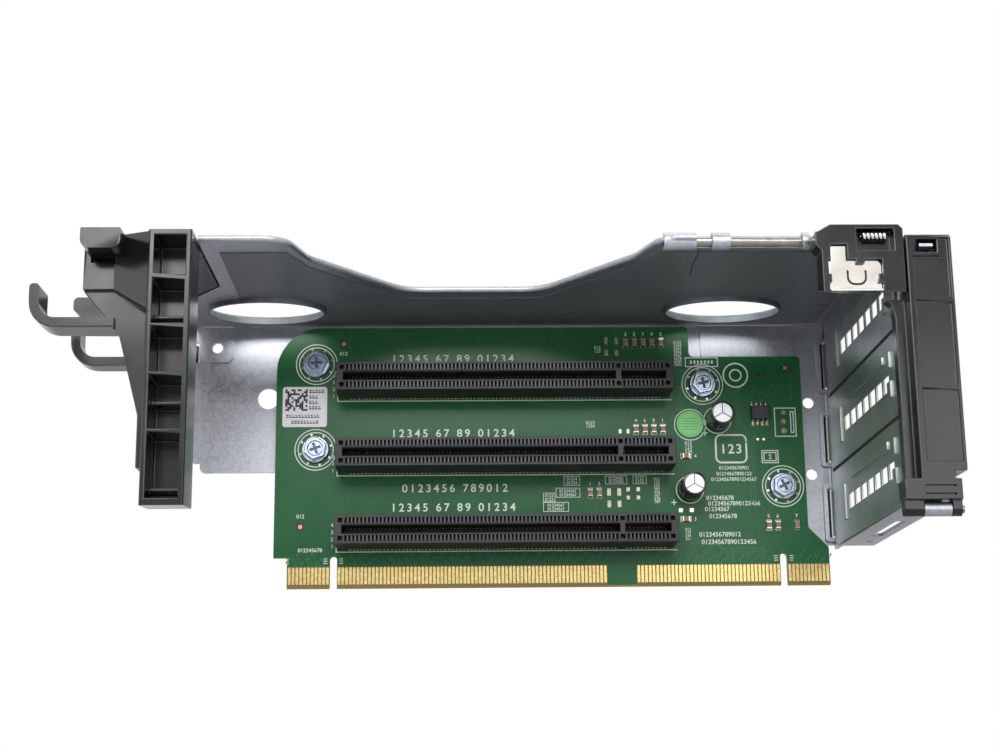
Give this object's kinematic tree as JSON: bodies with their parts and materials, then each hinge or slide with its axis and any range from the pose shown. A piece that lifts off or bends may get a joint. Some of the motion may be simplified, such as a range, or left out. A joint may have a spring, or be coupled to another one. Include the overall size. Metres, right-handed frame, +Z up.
{
  "type": "server riser",
  "caption": "Riser cage for a rack server: an upright board with card sockets and a card edge in a folded steel frame, with a moulded card guide, vented slot covers and a hinged card latch.",
  "frame": {"origin": "middle of the card edge, on its lowest line and on the board's front face", "axes": "+X along the card edge towards the slot panel, +Y away from the card side, +Z up from the card edge"},
  "size_m": [0.2092, 0.089, 0.0747],
  "materials": {
    "galvanised_sheet": "galvanised, satin",
    "cover_sheet": "satin",
    "film": "satin film",
    "board": "green solder mask",
    "socket": "moulded, matt",
    "zinc_steel": "zinc plated",
    "nickel": "nickel plated",
    "can": "drawn can",
    "chip": "moulded, matt",
    "ceramic": "ceramic",
    "label": "paper",
    "dot": "printed paper",
    "black_moulding": "moulded, satin"
  },
  "bodies": {
    "cage": {"side_panel": "galvanised_sheet", "top_flange": "galvanised_sheet", "insulator_film": "film", "riser_board": "board", "slot_connector_1": "socket", "slot_connector_2": "socket", "slot_connector_3": "socket", "board_screws": "zinc_steel", "board_standoffs": "zinc_steel", "bulk_capacitor_1": "can", "bulk_capacitor_2": "can", "logic_chip": "chip", "chip_capacitors": "ceramic", "board_label": "label", "inspection_dot": "dot", "slot_cover_1": "cover_sheet", "slot_cover_2": "cover_sheet", "slot_cover_3": "cover_sheet", "card_guide": "black_moulding", "latch_bar_pin": "nickel"},
    "upper_latch": {"latch_block": "black_moulding", "latch_clip_plate": "nickel", "latch_spring": "nickel", "latch_rod": "zinc_steel"},
    "lower_latch": {"latch_bar": "black_moulding"}
  },
  "joints": [
    {"name": "upper_latch_hinge", "type": "hinge", "parent": "cage", "child": "upper_latch", "pos_m": [0.0655, -0.0695, 0.0724], "axis": [-1, 0, 0], "range_deg": [0, 80]},
    {"name": "lower_latch_hinge", "type": "hinge", "parent": "cage", "child": "lower_latch", "pos_m": [0.0789, -0.0777, 0.0078], "axis": [1, 0, 0], "range_deg": [0, 90]}
  ]
}
